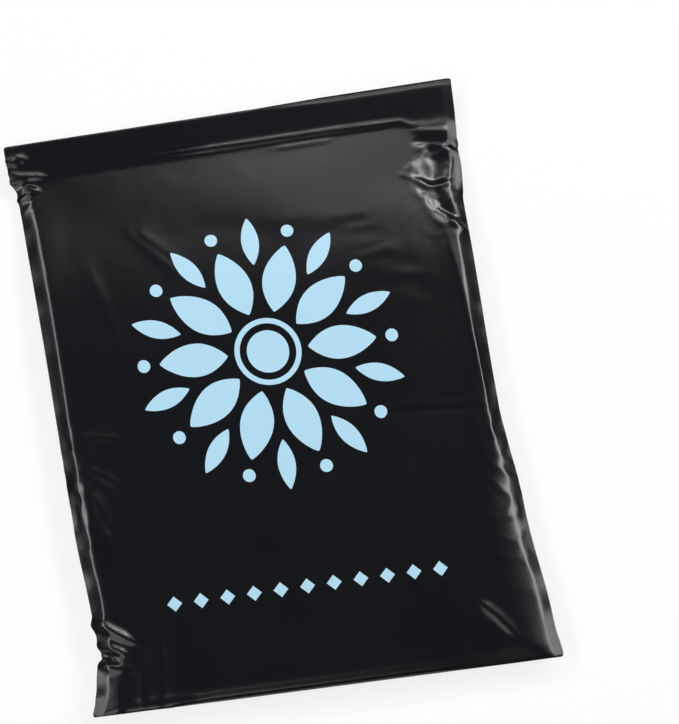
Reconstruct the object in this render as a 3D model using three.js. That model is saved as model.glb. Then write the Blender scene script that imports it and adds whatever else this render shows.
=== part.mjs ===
// A filled and sealed poly mailer, lying on its back with the front panel up.
// One web of polyethylene film makes the whole bag: it is folded up at the bottom, heat-sealed down
// both sides, and its flap is folded over the mouth and glued down on the back panel.
// The pack is sealed, so the film and the soft goods in it are one solid.
// Millimetres, +Z up: X runs across the bag and Y from the bottom fold to the top fold.
// The origin is under the middle of the bag, on the surface that it lies on.

import * as THREE from "three";
import { mergeVertices } from "three/addons/utils/BufferGeometryUtils.js";

// Driving dimensions of the bag

const filmWidth = 254; // across the flat film, over both side seals
const bagLength = 328; // bottom fold to top fold, once the bag is filled
const sealWidth = 5; // heat-sealed margin down each side
const sealThickness = 0.6; // two layers of film, with the ripple of the seal
const flapDepth = 22; // top fold to the free edge of the flap
const flapThickness = 0.4; // the flap and its band of glue, standing off the back panel
const flapEdgeRun = 0.5; // length over which the free edge steps down to the back panel

// Driving dimensions of the filled shape

const fillThickness = 17; // the surface it lies on to the crown of the front panel
const sealHeight = 9; // the side seals above that surface
const topFoldLift = 8; // gap under the top fold, where the closed mouth stands out from the filling
const sideDrawIn = 6; // how far the filling pulls each side in from the flat width
const drawInRun = 40; // length over which a side is drawn in, at either end
const frontSideShoulder = 12; // the front panel's climb from a side seal to the flat of the pack
const frontBottomShoulder = 14; // the same from the bottom fold
const frontTopShoulder = 90; // and from the closed mouth
const backShoulder = 14; // the back panel's drop from its edges to the surface

// Cells of the film between its seals and folds

const cellsAcross = 26;
const cellsAlong = 32;
const cellsUpClosure = 4;

// Places that follow from the driving dimensions

const bottomFold = -bagLength / 2;
const topFold = bagLength / 2;
const flapEdge = topFold - flapDepth;
const bodyTop = flapEdge - flapEdgeRun;
const topFoldMiddle = topFoldLift + flapThickness + sealThickness / 2;

// Evenly spaced values from start to end, with the end left out.
function steps(start, end, count) {
  return Array.from({ length: count }, (_, i) => start + ((end - start) * i) / count);
}

// Climbs from 0 to 1 over a run and stays there, with no crease at the top.
function shoulder(distance, run) {
  const share = THREE.MathUtils.clamp(distance / run, 0, 1);
  return share === 1 ? 1 : Math.sin((share * Math.PI) / 2);
}

// Half the width of the bag at a place along it.
function halfWidth(y) {
  const swell = shoulder(y - bottomFold, drawInRun) * shoulder(bodyTop - y, drawInRun);
  return filmWidth / 2 - sideDrawIn * swell;
}

// Height of the middle of the side seals, which run on along the closed mouth to the top fold.
function sealMiddle(y) {
  const upClosure = THREE.MathUtils.clamp((y - bodyTop) / (topFold - bodyTop), 0, 1);
  return THREE.MathUtils.lerp(sealHeight, topFoldMiddle, upClosure);
}

// How full the pack is under a point of a panel: 0 at its seals and folds, 1 over the flat.
function fullness(x, y, side, bottom, top) {
  const inFromSeal = halfWidth(y) - sealWidth - Math.abs(x);
  return shoulder(inFromSeal, side) * shoulder(y - bottomFold, bottom) * shoulder(bodyTop - y, top);
}

function frontHeight(x, y) {
  const edge = sealMiddle(y) + sealThickness / 2;
  const full = fullness(x, y, frontSideShoulder, frontBottomShoulder, frontTopShoulder);
  return THREE.MathUtils.lerp(edge, fillThickness, full);
}

function backHeight(x, y) {
  const edge = sealMiddle(y) - sealThickness / 2;
  const full = fullness(x, y, backShoulder, backShoulder, backShoulder);
  const flap = y >= flapEdge ? flapThickness : 0;
  return THREE.MathUtils.lerp(edge, 0, full) - flap;
}

// Lines of the film grid: shares of the width between the side seals, and places along the bag.
const linesAcross = [...steps(-1, 1, cellsAcross), 1];
const linesAlong = [
  ...steps(bottomFold, bodyTop, cellsAlong),
  bodyTop,
  ...steps(flapEdge, topFold, cellsUpClosure),
  topFold,
];

// Place across the bag of a column of the grid, whose first and last columns are the film's edges.
function acrossAt(column, y) {
  const inner = halfWidth(y) - sealWidth;
  if (column === 0) return -halfWidth(y);
  if (column === linesAcross.length + 1) return halfWidth(y);
  return linesAcross[column - 1] * inner;
}

// The front and back panels are the two broad faces of a box, moved to their places line by line.
function mailerGeometry() {
  const columns = linesAcross.length + 1;
  const rows = linesAlong.length - 1;
  const box = new THREE.BoxGeometry(1, 1, 1, columns, rows, 1);
  box.deleteAttribute("normal");
  box.deleteAttribute("uv");
  const film = mergeVertices(box);
  const place = film.getAttribute("position");
  for (let i = 0; i < place.count; i += 1) {
    const column = Math.round((place.getX(i) + 0.5) * columns);
    const row = Math.round((place.getY(i) + 0.5) * rows);
    const isFront = place.getZ(i) > 0;
    const y = linesAlong[row];
    const x = acrossAt(column, y);
    place.setXYZ(i, x, y, isFront ? frontHeight(x, y) : backHeight(x, y));
  }
  film.computeVertexNormals();
  return film;
}

const blackFilm = new THREE.MeshStandardMaterial({ color: 0x1b1c1f, roughness: 0.38, metalness: 0 });

const mailerBag = new THREE.Mesh(mailerGeometry(), blackFilm);
mailerBag.name = "mailer_bag";

const part = new THREE.Group();
part.add(mailerBag);

export default part;
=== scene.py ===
# A filled and sealed poly mailer, lying on its back with the printed front panel up.
import math

import bmesh
import bpy
from mathutils import Matrix, Vector, noise
from mathutils.geometry import intersect_point_line


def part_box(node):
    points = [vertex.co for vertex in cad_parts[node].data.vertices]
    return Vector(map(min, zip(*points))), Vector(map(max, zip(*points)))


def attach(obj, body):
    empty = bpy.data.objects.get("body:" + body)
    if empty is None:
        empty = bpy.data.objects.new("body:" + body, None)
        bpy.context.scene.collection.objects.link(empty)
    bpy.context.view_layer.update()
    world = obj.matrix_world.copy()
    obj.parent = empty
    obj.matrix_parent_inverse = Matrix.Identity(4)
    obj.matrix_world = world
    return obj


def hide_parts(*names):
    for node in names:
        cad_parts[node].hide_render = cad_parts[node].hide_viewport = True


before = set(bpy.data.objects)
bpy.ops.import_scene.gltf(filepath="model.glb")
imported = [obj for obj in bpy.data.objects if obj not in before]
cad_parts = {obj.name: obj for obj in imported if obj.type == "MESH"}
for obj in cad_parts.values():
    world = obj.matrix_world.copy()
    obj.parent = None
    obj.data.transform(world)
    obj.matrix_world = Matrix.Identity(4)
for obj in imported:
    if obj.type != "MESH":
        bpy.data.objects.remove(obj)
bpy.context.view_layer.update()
scene = bpy.context.scene


# The web of film
# One length of black polyethylene film is folded up at the bottom and heat-sealed down both sides, so
# that it lies as two flat panels. They are a grid and its copy here, closed all round the rim.

MM = 0.001
bag_low, bag_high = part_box("mailer_bag")
film_width = bag_high[0] - bag_low[0]
film_length = 332 * MM
film_gap = 0.5 * MM
cells_across = 88
cells_along = 114

web = bmesh.new()
flat_size = Matrix.Diagonal((film_width, film_length, 1, 1))
bmesh.ops.create_grid(web, x_segments=cells_across, y_segments=cells_along, size=0.5, matrix=flat_size)
bmesh.ops.solidify(web, geom=web.faces[:], thickness=film_gap)
bmesh.ops.recalc_face_normals(web, faces=web.faces[:])

# Each point keeps its place on the flat film, with 1 for the front panel and -1 for the back.
flat_film = web.verts.layers.float_vector.new("flat_film")
for vert in web.verts:
    vert[flat_film] = (vert.co.x, vert.co.y, 1 if vert.co.z > -film_gap / 2 else -1)


# The seals
# Heat welds the two panels into one thicker strip down each side, and glue does the same for the mouth
# under its flap. The welded strips shrink a little, most where the bag was gathered as it was filled.

seal_width = 5.5 * MM
closure_depth = 22 * MM
seal_shrink = 0.004
most_shrink = 0.1
gathers = (  # side of the bag, place along it, reach, share of the length that is lost
    (1, 100 * MM, 26 * MM, 0.03),
    (-1, 118 * MM, 14 * MM, 0.05),
    (-1, -128 * MM, 14 * MM, 0.14),
    (1, -140 * MM, 16 * MM, 0.04),
)


def is_sealed(x, y):
    return abs(x) > film_width / 2 - seal_width or y > film_length / 2 - closure_depth


def shrink_at(x, y):
    if abs(x) < film_width / 2 - seal_width:
        return 0
    shrink = seal_shrink
    for side, middle, reach, share in gathers:
        if x * side > 0:
            shrink += share * math.exp(-((y - middle) / reach) ** 2)
    return shrink


def film_key(place):
    x, y, side = place
    return round(x / MM, 1), round(y / MM, 1), side > 0


def panel_pairs(mesh, layer):
    """The points of the front panel, each with the point of the back panel behind it."""
    points = {film_key(vert[layer]): vert for vert in mesh.verts}
    return [(vert, points[x, y, False]) for (x, y, is_front), vert in points.items() if is_front]


sealed_web = web.copy()
sealed_flat = sealed_web.verts.layers.float_vector["flat_film"]
welds = {
    back: front for front, back in panel_pairs(sealed_web, sealed_flat)
    if is_sealed(front.co.x, front.co.y)
}
bmesh.ops.weld_verts(sealed_web, targetmap=welds)


# The filling
# Soft folded goods push the panels apart and draw the sides in. The goods can't be seen, so they are
# only a shape for the film to settle on, and they are taken away again with the bench under them.

BENCH = 10  # the film is filled at ten times its size, which suits the cloth solver
left_side = 321 * MM
right_side = 330.5 * MM
top_fold = 164.5 * MM
side_draw_in = 5 * MM
draw_in_run = 40 * MM
mouth_draw_in = {-1: 1 * MM, 1: 3 * MM}
crown = 15 * MM
seal_height = 6.5 * MM
back_height = 0.5 * MM
side_climb = 14 * MM
bottom_climb = 20 * MM
mouth_climb = 110 * MM
wobble_height = 0.12 * MM
wobble_size = 9 * MM


def shoulder(distance, run):
    share = min(max(distance / run, 0), 1)
    return math.sin(share * math.pi / 2)


def mix(a, b, share):
    return a + (b - a) * share


def filled_place(x, y, side):
    """Where a point of the flat film starts, on a plain pillow that the solver then wrinkles."""
    from_bottom = y + film_length / 2
    from_closure = film_length / 2 - closure_depth - y
    swell = shoulder(from_bottom, draw_in_run) * shoulder(from_closure, draw_in_run)
    in_from_seal = film_width / 2 - seal_width - abs(x)
    full = shoulder(in_from_seal, side_climb) * shoulder(from_bottom, bottom_climb)
    full *= shoulder(from_closure, mouth_climb)
    length_here = mix(left_side, right_side, x / film_width + 0.5)
    place_y = top_fold - (film_length / 2 - y) * length_here / film_length
    down_closure = min((film_length / 2 - y) / closure_depth, 1)
    near_closure = 1 - shoulder(from_closure, draw_in_run)
    draw_in = side_draw_in * swell + mouth_draw_in[1 if x > 0 else -1] * down_closure * near_closure
    place_x = x * (1 - draw_in / (film_width / 2))
    height = mix(seal_height, crown if side > 0 else back_height, full)
    wobble = wobble_height * noise.noise(Vector((x, y, side * film_length)) / wobble_size)
    return Vector((place_x, place_y, height + wobble))


# What the solver makes depends on the order of the faces and of their corners, so both are put in order.
sealed_web.verts.index_update()
rings = [[vert.index for vert in face.verts] for face in sealed_web.faces]
firsts = [ring.index(min(ring)) for ring in rings]
rings = sorted(ring[first:] + ring[:first] for ring, first in zip(rings, firsts))
film_places = [vert[sealed_flat].copy() for vert in sealed_web.verts]
ordered_web = bmesh.new()
points = [ordered_web.verts.new(vert.co) for vert in sealed_web.verts]
for ring in rings:
    ordered_web.faces.new([points[i] for i in ring])
film_mesh = bpy.data.meshes.new("sealed_web")
ordered_web.to_mesh(film_mesh)
film_web = bpy.data.objects.new("sealed_web", film_mesh)
scene.collection.objects.link(film_web)
filled = film_web.shape_key_add(name="filled")
flat = film_web.shape_key_add(name="flat")
for i, (x, y, side) in enumerate(film_places):
    start = filled_place(x, y, side) * BENCH
    film_mesh.vertices[i].co = start
    filled.data[i].co = start
    flat.data[i].co = Vector((x, y, 0)) * BENCH

held = film_web.vertex_groups.new(name="held")
shrunk = film_web.vertex_groups.new(name="shrunk")
stiff = film_web.vertex_groups.new(name="stiff")
hair = 0.1 * MM
for i, (x, y, side) in enumerate(film_places):
    at_corner = abs(x) > film_width / 2 - hair and y < hair - film_length / 2
    up_closure = 1 - (film_length / 2 - y) / closure_depth
    if at_corner or up_closure > 0:
        held.add([i], 1, "REPLACE")
    shrunk.add([i], shrink_at(x, y) / most_shrink, "REPLACE")
    if is_sealed(x, y):
        stiff.add([i], 1, "REPLACE")

# The goods thin out towards their edges, most of all towards the mouth, and are a little lumpy and askew.
goods_width = 230  # in mm, like the heights above and below the middle of the goods
goods_above = 7
goods_below = 5.5
goods_middle = 7 * MM
goods_left = 1 * MM
goods_low = -154 * MM
goods_high = 136 * MM
goods_side_run = 12 * MM
goods_bottom_run = 10 * MM
goods_top_run = 110 * MM
side_share = 0.25
bottom_share = 0.3
top_share = 0.12
askew = 0.05
askew_area = 112 * MM * 150 * MM
lump_height = 0.05
lump_size = 60 * MM

goods = bmesh.new()
bmesh.ops.create_cube(goods, size=1)
bmesh.ops.subdivide_edges(goods, edges=goods.edges[:], cuts=34, use_grid_fill=True)
for vert in goods.verts:
    x = vert.co.x * goods_width * MM
    y = mix(goods_low, goods_high, vert.co.y + 0.5)
    from_side = goods_width / 2 * MM - abs(x)
    roll = mix(side_share, 1, shoulder(from_side, goods_side_run))
    roll *= mix(bottom_share, 1, shoulder(y - goods_low, goods_bottom_run))
    roll *= mix(top_share, 1, shoulder(goods_high - y, goods_top_run)) * (1 + askew * x * y / askew_area)
    lumps = 1 + lump_height * noise.noise(Vector((x, y, 0)) / lump_size)
    thickness = goods_above if vert.co.z > 0 else goods_below
    height = goods_middle + vert.co.z * 2 * roll * lumps * thickness * MM
    vert.co = Vector((x - goods_left, y, height)) * BENCH
goods_mesh = bpy.data.meshes.new("goods")
goods.to_mesh(goods_mesh)
goods_block = bpy.data.objects.new("goods", goods_mesh)
scene.collection.objects.link(goods_block)

bench = bmesh.new()
bmesh.ops.create_grid(bench, x_segments=8, y_segments=8, size=3)
bench_mesh = bpy.data.meshes.new("bench")
bench.to_mesh(bench_mesh)
bench_top = bpy.data.objects.new("bench", bench_mesh)
scene.collection.objects.link(bench_top)
bench_top.location.z = -0.02
for solid in (goods_block, bench_top):
    solid.modifiers.new("solid", "COLLISION")
    solid.collision.thickness_outer = 0.01
    solid.collision.thickness_inner = 0.05
    solid.collision.cloth_friction = 1

cloth = film_web.modifiers.new("filling", "CLOTH")
cloth.settings.rest_shape_key = film_mesh.shape_keys.key_blocks["flat"]
cloth.settings.vertex_group_mass = "held"
cloth.settings.quality = 5
cloth.settings.mass = 0.005
cloth.settings.air_damping = 1
cloth.settings.tension_stiffness = 200
cloth.settings.compression_stiffness = 200
cloth.settings.shear_stiffness = 100
cloth.settings.bending_stiffness = 0.01
cloth.settings.vertex_group_bending = "stiff"
cloth.settings.bending_stiffness_max = 2
cloth.settings.vertex_group_shrink = "shrunk"
cloth.settings.shrink_min = 0
cloth.settings.shrink_max = most_shrink
cloth.settings.effector_weights.gravity = 0.2
cloth.settings.use_pressure = True
cloth.settings.uniform_pressure_force = 2
cloth.collision_settings.distance_min = 0.01
cloth.collision_settings.collision_quality = 2

for step in range(1, 31):
    scene.frame_set(step)
settled = film_web.evaluated_get(bpy.context.evaluated_depsgraph_get())
settled_mesh = bpy.data.meshes.new_from_object(settled)
settled_places = {
    film_key(place): vert.co / BENCH for place, vert in zip(film_places, settled_mesh.vertices)
}
for helper in (film_web, goods_block, bench_top):
    bpy.data.objects.remove(helper)
scene.frame_set(1)

pairs = panel_pairs(web, flat_film)
for front, back in pairs:
    front.co = settled_places[film_key(front[flat_film])]
    back.co = settled_places.get(film_key(back[flat_film]), front.co)


# The mouth
# Glue holds the mouth shut right across the bag, and the goods stop well short of it. The film was
# pressed flat there, so it climbs to the goods in a long gentle slope.

mouth_lift = 1 * MM
mouth_rise = 1.5 * MM
mouth_shift = 2.2 * MM
slope_left = 0.05
slope_right = 0.13
crown_across = 2.5 * MM
press_far = 45 * MM
press_left = 95 * MM
press_right = 120 * MM
shift_far = 110 * MM
top_draw_in = 2 * MM
smoothing_passes = 30
upper_right = Vector((112, 100)) * MM
upper_right_reach = 45 * MM
flap_edge = film_length / 2 - closure_depth


def smooth(share):
    share = min(max(share, 0), 1)
    return share * share * (3 - 2 * share)


def relax(verts, passes):
    for step in range(passes):
        bmesh.ops.smooth_vert(web, verts=verts, factor=0.5, use_axis_x=True, use_axis_y=True, use_axis_z=True)


def near_upper_right(place):
    return (place.xy - upper_right).length < upper_right_reach and not is_sealed(*place.xy)


below_mouth = [vert for vert in web.verts if 0 < flap_edge - vert[flat_film].y < press_far]
relax(below_mouth, smoothing_passes)
relax([vert for vert in web.verts if near_upper_right(vert[flat_film])], smoothing_passes)
for vert in web.verts:
    x, y, side = vert[flat_film]
    below = flap_edge - y
    vert.co.y -= mouth_shift * (1 - smooth((below + closure_depth) / shift_far))
    if below < 0:
        up_closure = -below / closure_depth
        vert.co.x -= top_draw_in * up_closure * max(x, 0) / (film_width / 2)
        vert.co.z += mouth_lift + mouth_rise * up_closure
    else:
        pressed = 1 - smooth(below / mix(press_left, press_right, smooth(x / film_width + 0.5)))
        vert.co.z += mouth_lift * pressed
        if side > 0:
            ramp = seal_height + mouth_lift + mix(slope_left, slope_right, x / film_width + 0.5) * below
            ramp -= crown_across * smooth(below / press_far) * (2 * x / film_width) ** 2
            vert.co.z = mix(vert.co.z, ramp, pressed)


# The shoulders
# The goods are soft and were pressed flat, so the front panel stays level almost to its edges and then
# drops to the side seams and the bottom fold over a narrow shoulder. The back panel rises to meet it.

side_drop = 1.3 * MM
side_run = 4 * MM
bottom_drop = 3 * MM
bottom_run = 5 * MM
corner_blend = 40 * MM
broad_shoulder_drop = 2.8 * MM
broad_shoulder_run = 15 * MM
broad_from = (60 * MM, -40 * MM)  # towards the lower right corner
broad_reach = 40 * MM
ear_drop = 0.8 * MM
ear_from = (-60 * MM, -105 * MM)  # towards the lower left corner
ear_reach = (30 * MM, 15 * MM)
level_from = 10 * MM
level_to = 28 * MM
level_rows = 4
back_rise_run = 14 * MM
edge_passes = 10

columns = sorted({front[flat_film].x for front, back in pairs})
rows = sorted({front[flat_film].y for front, back in pairs})
column_at = {x: i for i, x in enumerate(columns)}
row_at = {y: j for j, y in enumerate(rows)}
settled_heights = {(front[flat_film].x, front[flat_film].y): front.co.z for front, back in pairs}


def level_beside(x, y):
    """Height of the flat of the front panel beside a place near the edge."""
    inset = round(level_to / (columns[1] - columns[0]))
    column = min(max(column_at[x], inset), len(columns) - 1 - inset)
    row = max(row_at[y], inset)
    nearby = rows[row - level_rows:row + level_rows + 1]
    heights = [settled_heights[columns[column], near_y] for near_y in nearby]
    return sum(heights) / len(heights)


def edge_distances(x, y):
    return film_width / 2 - seal_width - abs(x), y + film_length / 2


def is_near_edge(place):
    return min(edge_distances(*place.xy)) < level_to and not is_sealed(*place.xy)


relax([vert for vert in web.verts if is_near_edge(vert[flat_film])], edge_passes)
for front, back in pairs:
    x, y, side = front[flat_film]
    from_side, from_bottom = edge_distances(x, y)
    inward = min(from_side, from_bottom)
    if y < flap_edge and inward < level_to:
        broad = smooth((x - broad_from[0]) / broad_reach) * smooth((broad_from[1] - y) / broad_reach)
        ear = smooth((ear_from[0] - x) / ear_reach[0]) * smooth((ear_from[1] - y) / ear_reach[1])
        to_side = smooth((from_bottom - from_side) / corner_blend + 0.5)
        drop = mix(bottom_drop, side_drop, to_side)
        drop = mix(mix(drop, broad_shoulder_drop, broad), ear_drop, ear)
        drop *= smooth((flap_edge - y) / press_far)
        run = mix(mix(bottom_run, side_run, to_side), broad_shoulder_run, broad)
        level = level_beside(x, y)
        shaped = level - drop * (1 - shoulder(inward, run))
        front.co.z = mix(shaped, front.co.z, smooth((inward - level_from) / (level_to - level_from)))
        rise = (level - drop - film_gap) * (1 - shoulder(inward, back_rise_run))
        back.co.z = back.co.z * shoulder(inward, back_rise_run) + rise


# The side strips
# The filling draws the sealed sides in, more in some places than in others. The welded strips are
# stiffer than the film beside them, so they stand out straight from the seams that the film settled into.

drawn_in = {  # for each side: places along the film and how far the side is drawn in there, in mm
    -1: ((146, 1), (134, 4), (15, 5.5), (-64, 6), (-118, 8.3), (-130, 9.5),
         (-135, 11), (-142, 6.2), (-151, 4.8), (-159, 2.8), (-166, 0)),
    1: ((142, 3.3), (122, 5), (87, 7.5), (-26, 9), (-83, 5), (-149, 0.5), (-166, -1.5)),
}
strip_blend = 25 * MM
strip_ripple = 0.5 * MM
strip_droop = {  # the same for how far the strip droops from the level, in degrees
    -1: ((146, 10), (130, 25), (0, 25.5), (-64, 24.5), (-120, 26), (-141, 30), (-143, 15), (-151, 21),
         (-154, 32), (-158, 14), (-164, 25)),
    1: ((146, 10), (125, 26), (-60, 26), (-120, 23), (-166, 20)),
}
strip_wander = math.radians(5)
ripple_size = 12 * MM
wander_size = 11 * MM


def along_side(steps, y):
    for (above, start), (below, end) in zip(steps, steps[1:]):
        if y / MM >= below:
            return mix(start, end, smooth((above - y / MM) / (above - below)))
    return steps[-1][1]


half_rows = {}
for front, back in pairs:
    x, y, side = front[flat_film]
    if y < flap_edge:
        half_rows.setdefault((y, 1 if x > 0 else -1), []).append((abs(x), front, back))
for (y, side), half_row in half_rows.items():
    seam, seam_front, seam_back = max(point for point in half_row if not is_sealed(point[0], y))
    middle = (seam_front.co + seam_back.co) / 2
    wander = strip_wander * noise.noise(Vector((5 * side, y / wander_size, 2)))
    droop = math.radians(along_side(strip_droop[side], y)) + wander
    edge = side * (film_width / 2 - along_side(drawn_in[side], y) * MM)
    shift = edge - side * (film_width / 2 - seam) * math.cos(droop) - middle.x
    near_bottom = 1 - shoulder(y + film_length / 2, draw_in_run)
    ripple = strip_ripple * noise.noise(Vector((side, y / ripple_size, 0)))
    for x, front, back in half_row:
        if x > seam:
            outward = x - seam
            place_x = middle.x + shift + side * outward * math.cos(droop)
            place_y = mix(middle.y, front.co.y, near_bottom)
            place_z = middle.z - outward * math.sin(droop) + ripple * outward / seal_width
            front.co = (place_x, place_y, place_z)
            back.co = front.co
        else:
            front.co.x += shift * (1 - shoulder(seam - x, strip_blend))
            back.co.x += shift * (1 - shoulder(seam - x, strip_blend))

# The bottom fold runs straight between its two corners.
bottom_points = {
    front[flat_film].x: front.co.y for front, back in pairs
    if front[flat_film].y < hair - film_length / 2
}
left_corner = bottom_points[min(bottom_points)]
right_corner = bottom_points[max(bottom_points)]
for vert in web.verts:
    x, y, side = vert[flat_film]
    straight = mix(left_corner, right_corner, x / film_width + 0.5)
    vert.co.y += (straight - bottom_points[x]) * (1 - shoulder(y + film_length / 2, draw_in_run))

# The two layers of film lie apart again by their thickness at the seals and along the bottom fold.
web.normal_update()
for front, back in pairs:
    x, y, side = front[flat_film]
    if is_sealed(x, y) or y < hair - film_length / 2:
        outward = (front.normal - back.normal).normalized() * film_gap / 2
        front.co += outward
        back.co -= outward
for vert in web.verts:
    vert.co.z = max(vert.co.z, 0)

# The sides are cut, so their rims are sharp, where the top and the bottom are folds.
rim_crease = web.edges.layers.float.new("crease_edge")
for edge in web.edges:
    start, end = (vert[flat_film] for vert in edge.verts)
    if min(abs(start.x), abs(end.x)) > film_width / 2 - hair and start.z == end.z:
        edge.smooth = False
        edge[rim_crease] = 1

coarse_mesh = bpy.data.meshes.new("coarse_film")
web.to_mesh(coarse_mesh)
coarse_film = bpy.data.objects.new("coarse_film", coarse_mesh)
scene.collection.objects.link(coarse_film)
finer = coarse_film.modifiers.new("finer", "SUBSURF")
finer.levels = 1
finer.render_levels = 1
finer_film = coarse_film.evaluated_get(bpy.context.evaluated_depsgraph_get())
bag = bmesh.new()
bag.from_mesh(bpy.data.meshes.new_from_object(finer_film))
bag_flat = bag.verts.layers.float_vector["flat_film"]
bpy.data.objects.remove(coarse_film)


# The creases
# Handling has left fine lines where the film was folded, and crumples at its corners. Each is a ridge or
# a valley along a line on the front panel, with the straight flanks that film has between its creases.

creases = (  # height, reach to either side, and points on the flat film, all in mm
    # along the glued mouth and the top fold
    (1.0, 2.4, ((-60, 147), (60, 146.5), (95, 145.9), (101.5, 142.4), (130, 140))),
    (0.3, 2.5, ((15, 140), (62, 140.5))),
    (0.6, 2.5, ((98, 139), (107, 138.1), (120, 136.4), (128, 135))),
    (-0.7, 2.2, ((15, 166), (170, 166))),
    # upper right corner
    (-2.6, 14, ((108, 132), (113, 118), (111.5, 108), (107, 98))),
    (0.45, 1.8, ((91, 110), (95, 114), (106.4, 123.8), (109, 127))),
    (0.45, 1.8, ((89, 113), (93.5, 111.7), (101.3, 107.3), (104, 105))),
    (0.7, 2.6, ((105, 125), (109.3, 123.4), (114, 122.1), (118.7, 125.2), (126.5, 121.8), (132, 121))),
    (1.2, 3.4, ((95, 111), (101.3, 107.3), (107.3, 103.1), (115, 103.6), (126, 105))),
    (0.7, 2.6, ((117, 129), (118.7, 125.2), (122, 118.2), (118.8, 106.5), (117, 101))),
    (-2, 7, ((114, 107), (110.5, 95), (113, 88), (123, 80))),
    (1.0, 3, ((104, 92), (114.5, 84.3), (120, 78.5), (124, 75.3), (117, 70))),
    (0.7, 2.6, ((116, 106), (111.2, 96.1), (109, 93), (115, 87))),
    (0.7, 3, ((126.5, 126), (127, 105.4), (126, 97.5), (115, 91))),
    (-1.2, 5, ((98, 132), (106, 131.2), (126, 127.4), (134, 126))),
    # upper left corner
    (1.2, 3.5, ((-130, 159), (-122.5, 155.4), (-119.7, 158), (-113, 155))),
    (1.2, 3.5, ((-130, 152), (-122.3, 147.5), (-104, 144))),
    (1.2, 3.5, ((-132, 143), (-115, 146))),
    (1.3, 4, ((-128, 136), (-118.4, 136), (-112, 130))),
    (1.3, 4, ((-131, 128), (-114, 132.5))),
    # lower left corner
    (1.7, 4.5, ((-142, -113), (-121, -118.5), (-115.5, -121.8), (-111, -124.4), (-104.5, -127.7),
                (-96, -132))),
    (1.4, 4, ((-140, -124), (-124, -129.8), (-118, -132.1), (-110, -134.5), (-102, -138))),
    (-1.6, 4, ((-144, -133), (-124, -135.5), (-106, -139))),
    (1.5, 4, ((-142, -132), (-125, -138.2), (-120, -140.9), (-112, -142.5), (-98, -144))),
    (1.0, 6, ((-102, -132), (-108, -141), (-111, -147), (-112, -152), (-112, -158), (-114, -172))),
    (0.4, 3, ((-97.5, -141), (-99.8, -165))),
    # lower right corner
    (1.0, 4, ((91, -130), (101.1, -141), (109, -154))),
    # folds across the middle and along the sides and the bottom
    (-0.2, 2, ((40, -21), (130, -28))),
    (0.15, 2, ((55, -18.5), (126, -24.5))),
    (0.2, 5, ((-124, 0), (-88, -58))),
    (0.6, 3, ((-113, -18), (-114.4, -28.9), (-116.4, -68.6), (-117, -80))),
    (0.5, 4, ((-120, -13), (-113.8, -14.6), (-86, -19))),
    (0.6, 5, ((-116, -30), (-104, -37), (-92, -46))),
    (0.8, 7, ((-118, -42), (-108, -54), (-102, -74))),
    (0.4, 2.5, ((112, 88), (117, 21), (121, -40))),
    (-0.4, 3, ((-150, -160), (150, -160))),
)

end_taper = 4  # a crease grows to its full height over a quarter of its length


def ridge(here, line, reach):
    """1 on a line of points, falling straight to 0 at its reach and tapering to nothing at both ends."""
    lengths = [(Vector(end) - Vector(start)).length for start, end in zip(line, line[1:])]
    height = 0
    passed = 0
    for start, end, length in zip(line, line[1:], lengths):
        along = min(max(intersect_point_line(here, start, end)[1], 0), 1)
        foot = Vector(start).lerp(Vector(end), along)
        share = (passed + along * length) / sum(lengths)
        taper = min(1, end_taper * share, end_taper * (1 - share))
        if taper > 0:
            height = max(height, taper - (here - foot).length / reach)
        passed += length
    return height


crest_sharpness = 4
rumples = (  # middle of a zone of fine folds, its reach across and along, their height and size, all in mm
    ((118, -70), (16, 80), 0.25, 11),
    ((110, 100), (20, 34), 0.3, 9),
    ((-118, -45), (14, 55), 0.35, 11),
    ((-122, 140), (12, 28), 0.5, 9),
)


def rumple(x, y):
    """Height of the fine folds, whose crests wander as the film was crushed at random."""
    total = 0
    for (middle_x, middle_y), (across, along), height, size in rumples:
        fade = 1 - ((x - middle_x) / across) ** 2 - ((y - middle_y) / along) ** 2
        if fade > 0:
            crest = 1 - crest_sharpness * abs(noise.noise(Vector((x, y, 0)) / size))
            total += height * fade * max(0, crest)
    return total


bag.normal_update()
creased = [vert for vert in bag.verts if vert[bag_flat].z > 0 or is_sealed(*vert[bag_flat].xy)]
raised = {vert: rumple(*(vert[bag_flat].xy / MM)) for vert in creased}
sunken = {vert: 0 for vert in creased}
for height, reach, line in creases:
    left, right = min(x for x, y in line) - reach, max(x for x, y in line) + reach
    low, high = min(y for x, y in line) - reach, max(y for x, y in line) + reach
    for vert in creased:
        here = vert[bag_flat].xy / MM
        if left < here.x < right and low < here.y < high:
            lift = height * ridge(here, line, reach)
            raised[vert] = max(raised[vert], lift)
            sunken[vert] = min(sunken[vert], lift)
for vert in creased:
    side = 1 if vert[bag_flat].z > 0 else -1
    vert.co += vert.normal * side * (raised[vert] + sunken[vert]) * MM

# The back panel is drawn into soft puckers, which run across it where it rises to its seams and its fold.
pucker_height = 2 * MM
pucker_spacing = 11 * MM
pucker_length = 45 * MM
pucker_middle = 8 * MM
pucker_reach = 10 * MM
for vert in bag.verts:
    x, y, side = vert[bag_flat]
    from_side, from_bottom = edge_distances(x, y)
    inward = min(from_side, from_bottom)
    if side < 0 and inward > 0 and y < flap_edge:
        along = Vector((x / pucker_length, y / pucker_spacing, 1))
        if from_bottom < from_side:
            along = Vector((x / pucker_spacing, y / pucker_length, 2))
        fade = max(0, 1 - abs(inward - pucker_middle) / pucker_reach)
        fade *= smooth(abs(from_bottom - from_side) / draw_in_run) * smooth((flap_edge - y) / press_far)
        vert.co += vert.normal * pucker_height * fade * noise.noise(along)
        vert.co.z = max(vert.co.z, 0)


# The flap
# The same film runs on past the mouth, is folded over the top and is glued down on the back panel, where
# its free edge makes a step right across the bag.

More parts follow.
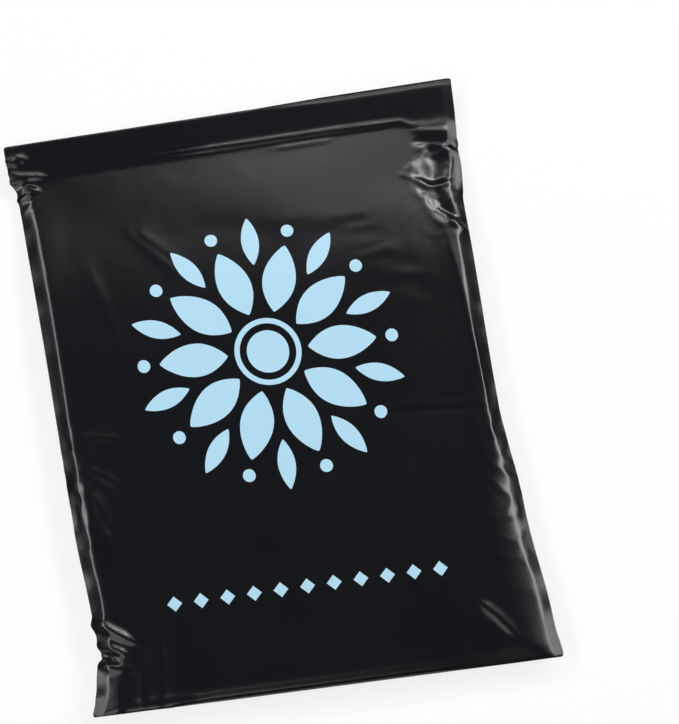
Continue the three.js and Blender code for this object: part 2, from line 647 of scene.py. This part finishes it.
flap_thickness = 0.4 * MM
flap_faces = [
    face for face in bag.faces
    if all(vert[bag_flat].z < -0.5 and vert[bag_flat].y > flap_edge for vert in face.verts)
]
flap = bmesh.ops.extrude_face_region(bag, geom=flap_faces)
flap_points = [item for item in flap["geom"] if isinstance(item, bmesh.types.BMVert)]
bmesh.ops.delete(bag, geom=flap_faces, context="FACES")
bmesh.ops.translate(bag, verts=flap_points, vec=(0, 0, -flap_thickness))

for face in bag.faces:
    face.smooth = True
bag_mesh = bpy.data.meshes.new("mailer_film")
bag.to_mesh(bag_mesh)
mailer_film = bpy.data.objects.new("mailer_film", bag_mesh)
scene.collection.objects.link(mailer_film)

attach(mailer_film, "root")
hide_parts("mailer_bag")


# The film's finish and its print
# The film is blown from black polyethylene, so it is satin, with faint streaks along its length. The
# front panel is printed in one pale blue ink with a rosette of petals and a row of diamonds below it.

film_black = (0.0048, 0.0052, 0.0072, 1)
ink_blue = (0.456, 0.723, 0.888, 1)
satin = 0.17
mottle_roughness = 0.08
streak_roughness = 0.03
ink_roughness = 0.14
wave_relief = 0.12
streak_relief = 0.004
seal_rib_relief = 0.015
seal_rib_pitch = 1.4 * MM
crimp_relief = 0.06
crimp_pitch = 2.6 * MM
crimp_low = film_length / 2 - 15 * MM
crimp_height = 8 * MM

black_film = bpy.data.materials.new("black_film")
black_film.use_nodes = True
tree = black_film.node_tree
shader = tree.nodes["Principled BSDF"]
bag_mesh.materials.append(black_film)


def feed(socket, value):
    if isinstance(value, bpy.types.NodeSocket):
        tree.links.new(value, socket)
    else:
        socket.default_value = value


def maths(operation, *values):
    node = tree.nodes.new("ShaderNodeMath")
    node.operation = operation
    for socket, value in zip(node.inputs, values):
        feed(socket, value)
    return node.outputs[0]


def between(value, low, high):
    return maths("MULTIPLY", maths("GREATER_THAN", value, low), maths("LESS_THAN", value, high))


def either(*masks):
    total = masks[0]
    for mask in masks[1:]:
        total = maths("MAXIMUM", total, mask)
    return total


def noise_on_film(across, along, detail):
    """Noise on the flat film, with so many cells to the metre across and along it."""
    stretch = tree.nodes.new("ShaderNodeVectorMath")
    stretch.operation = "MULTIPLY"
    tree.links.new(film_place, stretch.inputs[0])
    stretch.inputs[1].default_value = (across, along, 1)
    node = tree.nodes.new("ShaderNodeTexNoise")
    node.inputs["Scale"].default_value = 1
    node.inputs["Detail"].default_value = detail
    tree.links.new(stretch.outputs[0], node.inputs["Vector"])
    return node.outputs["Fac"]


place_node = tree.nodes.new("ShaderNodeAttribute")
place_node.attribute_name = "flat_film"
film_place = place_node.outputs["Vector"]
split = tree.nodes.new("ShaderNodeSeparateXYZ")
tree.links.new(film_place, split.inputs[0])
film_x, film_y, film_side = split.outputs

rosette_middle = 20 * MM
from_middle = maths("SUBTRACT", film_y, rosette_middle)
radius = maths("SQRT", maths("ADD", maths("POWER", film_x, 2), maths("POWER", from_middle, 2)))
angle = maths("ARCTAN2", film_x, from_middle)


def swing_from_nearest(count, turn):
    """Angle from the nearest of so many spokes, which are turned by a share of the step between them."""
    step = 2 * math.pi / count
    turned = maths("ADD", angle, turn * step + 2 * math.pi)
    return maths("SUBTRACT", step / 2, maths("PINGPONG", turned, step / 2))


def petals(count, turn, inner, outer, half_width):
    """A ring of leaf shapes that taper to both ends."""
    aside = maths("MULTIPLY", swing_from_nearest(count, turn), radius)
    share = maths("DIVIDE", maths("SUBTRACT", radius, inner), outer - inner)
    arch = maths("SINE", maths("MULTIPLY", share, math.pi))
    width = maths("MULTIPLY", maths("POWER", maths("MAXIMUM", arch, 0), 0.8), half_width)
    return maths("MULTIPLY", maths("LESS_THAN", aside, width), between(radius, inner, outer))


def ring_of_dots(count, turn, ring_radius, dot_radius):
    aside = maths("MULTIPLY", swing_from_nearest(count, turn), ring_radius)
    out = maths("SUBTRACT", radius, ring_radius)
    far = maths("ADD", maths("POWER", aside, 2), maths("POWER", out, 2))
    return maths("LESS_THAN", far, dot_radius ** 2)


def row_of_diamonds(row_y, spacing, half_length, half_width, half_height):
    swing = maths("PINGPONG", maths("ADD", film_x, 20 * spacing), spacing / 2)
    aside = maths("DIVIDE", swing, half_width)
    up = maths("DIVIDE", maths("ABSOLUTE", maths("SUBTRACT", film_y, row_y)), half_height)
    inside = maths("LESS_THAN", maths("ADD", aside, up), 1)
    return maths("MULTIPLY", inside, maths("LESS_THAN", maths("ABSOLUTE", film_x), half_length))


ink = either(
    maths("LESS_THAN", radius, 12 * MM),
    between(radius, 16 * MM, 19 * MM),
    petals(10, 0, 23 * MM, 62 * MM, 9.5 * MM),
    petals(10, 0.5, 50 * MM, 78 * MM, 5 * MM),
    ring_of_dots(10, 0, 71 * MM, 3.6 * MM),
    row_of_diamonds(-112 * MM, 15 * MM, 82.5 * MM, 4.2 * MM, 4.2 * MM),
)
ink = maths("MULTIPLY", ink, maths("GREATER_THAN", film_side, 0.5))

mottle = noise_on_film(22, 22, 3)
streaks = noise_on_film(420, 14, 2)
tint = tree.nodes.new("ShaderNodeMix")
tint.data_type = "RGBA"
tint.inputs["A"].default_value = film_black
tint.inputs["B"].default_value = ink_blue
tree.links.new(ink, tint.inputs["Factor"])
tree.links.new(tint.outputs["Result"], shader.inputs["Base Color"])
roughness = maths("ADD", satin, maths("MULTIPLY", mottle, mottle_roughness))
roughness = maths("ADD", roughness, maths("MULTIPLY", streaks, streak_roughness))
roughness = maths("ADD", roughness, maths("MULTIPLY", ink, ink_roughness))
tree.links.new(roughness, shader.inputs["Roughness"])

fine_waves = noise_on_film(75, 75, 3)
strip = maths("GREATER_THAN", maths("ABSOLUTE", film_x), film_width / 2 - seal_width)
slant = maths("MULTIPLY", maths("ADD", film_x, film_y), 2 * math.pi / seal_rib_pitch)
seal_ribs = maths("MULTIPLY", strip, maths("SINE", slant))
crimp_band = between(film_y, crimp_low, crimp_low + crimp_height)
crimp = maths("MULTIPLY", crimp_band, maths("LESS_THAN", film_side, -0.5))
across = maths("MULTIPLY", film_x, 2 * math.pi / crimp_pitch)
crimp_ribs = maths("MULTIPLY", crimp, maths("SINE", across))
relief = maths("MULTIPLY", fine_waves, wave_relief)
relief = maths("ADD", relief, maths("MULTIPLY", streaks, streak_relief))
relief = maths("ADD", relief, maths("MULTIPLY", seal_ribs, seal_rib_relief))
relief = maths("ADD", relief, maths("MULTIPLY", crimp_ribs, crimp_relief))
bump = tree.nodes.new("ShaderNodeBump")
bump.inputs["Distance"].default_value = 1 * MM
tree.links.new(relief, bump.inputs["Height"])
tree.links.new(bump.outputs["Normal"], shader.inputs["Normal"])


# The floor
# A sheet of white paper that the bag lies on. Seen straight or in a reflection it is mostly plain white,
# and the rest of it is lit by the lamps, so that it keeps the shadow of the bag.

paper_white = (0.92, 0.92, 0.92, 1)
plain_share = 0.8

floor_grid = bmesh.new()
bmesh.ops.create_grid(floor_grid, x_segments=1, y_segments=1, size=3)
floor_mesh = bpy.data.meshes.new("floor")
floor_grid.to_mesh(floor_mesh)
floor = bpy.data.objects.new("floor", floor_mesh)
scene.collection.objects.link(floor)

paper = bpy.data.materials.new("white_paper")
paper.use_nodes = True
paper_nodes = paper.node_tree.nodes
paper_links = paper.node_tree.links
lit_paper = paper_nodes["Principled BSDF"]
lit_paper.inputs["Base Color"].default_value = paper_white
lit_paper.inputs["Roughness"].default_value = 0.8
plain_white = paper_nodes.new("ShaderNodeEmission")
rays = paper_nodes.new("ShaderNodeLightPath")
seen = rays.outputs["Is Camera Ray"]
for kind in ("Is Glossy Ray", "Is Transmission Ray"):
    any_ray = paper_nodes.new("ShaderNodeMath")
    any_ray.operation = "MAXIMUM"
    paper_links.new(seen, any_ray.inputs[0])
    paper_links.new(rays.outputs[kind], any_ray.inputs[1])
    seen = any_ray.outputs[0]
plain_part = paper_nodes.new("ShaderNodeMath")
plain_part.operation = "MULTIPLY"
plain_part.inputs[1].default_value = plain_share
paper_links.new(seen, plain_part.inputs[0])
blend = paper_nodes.new("ShaderNodeMixShader")
paper_links.new(plain_part.outputs[0], blend.inputs["Fac"])
paper_links.new(lit_paper.outputs["BSDF"], blend.inputs[1])
paper_links.new(plain_white.outputs[0], blend.inputs[2])
paper_links.new(blend.outputs[0], paper_nodes["Material Output"].inputs["Surface"])
floor_mesh.materials.append(paper)


# The lights
# Five soft boxes round the bag. The large ones overhead and in front give the sheen on the film and light
# the print, and the long thin ones at the sides and the back draw the highlights along its edges and
# creases.

def softbox(name, place, size, watts):
    lamp = bpy.data.lights.new(name, "AREA")
    lamp.shape = "RECTANGLE"
    lamp.size, lamp.size_y = size
    lamp.energy = watts
    holder = bpy.data.objects.new(name, lamp)
    scene.collection.objects.link(holder)
    holder.location = place
    holder.rotation_euler = (-Vector(place)).to_track_quat("-Z", "Y").to_euler()


softbox("overhead", (0.62, 1.1, 1.55), (1.0, 1.0), 4)
softbox("left", (-1.1, 0.25, 1.2), (1.6, 0.18), 10)
softbox("right", (1.1, 0.5, 1.2), (1.6, 0.25), 16)
softbox("front", (-0.7, -0.9, 1.64), (1.4, 1.4), 11)
softbox("back", (0.12, 1.0, 1.11), (1.6, 0.08), 4)

world = bpy.data.worlds.new("studio")
scene.world = world
world.use_nodes = True
world.node_tree.nodes["Background"].inputs["Color"].default_value = (1, 1, 1, 1)
world.node_tree.nodes["Background"].inputs["Strength"].default_value = 0.04


# The camera
# It looks almost straight down at the bag from the front, through a long lens, and is turned a little, so
# that the bag lies askew in the picture.

view_elevation = math.radians(79)
view_azimuth = math.radians(-25)
view_turn = math.radians(15.48)
view_distance = 1.6543
aim_point = Vector((0.0370, 0.0150, 0))
focal_pixels = 3000
sensor_width = 36
picture_height = 724
level_out = Vector((math.sin(view_azimuth), -math.cos(view_azimuth), 0))
out = level_out * math.cos(view_elevation) + Vector((0, 0, math.sin(view_elevation)))
lens = bpy.data.cameras.new("camera")
lens.sensor_width = sensor_width
lens.sensor_fit = "AUTO"
lens.lens = focal_pixels * sensor_width / picture_height
camera = bpy.data.objects.new("camera", lens)
scene.collection.objects.link(camera)
look = (-out).to_track_quat("-Z", "Y").to_matrix() @ Matrix.Rotation(view_turn, 3, "Z")
camera.matrix_world = Matrix.Translation(aim_point + out * view_distance) @ look.to_4x4()
scene.camera = camera

scene.view_settings.view_transform = "Standard"
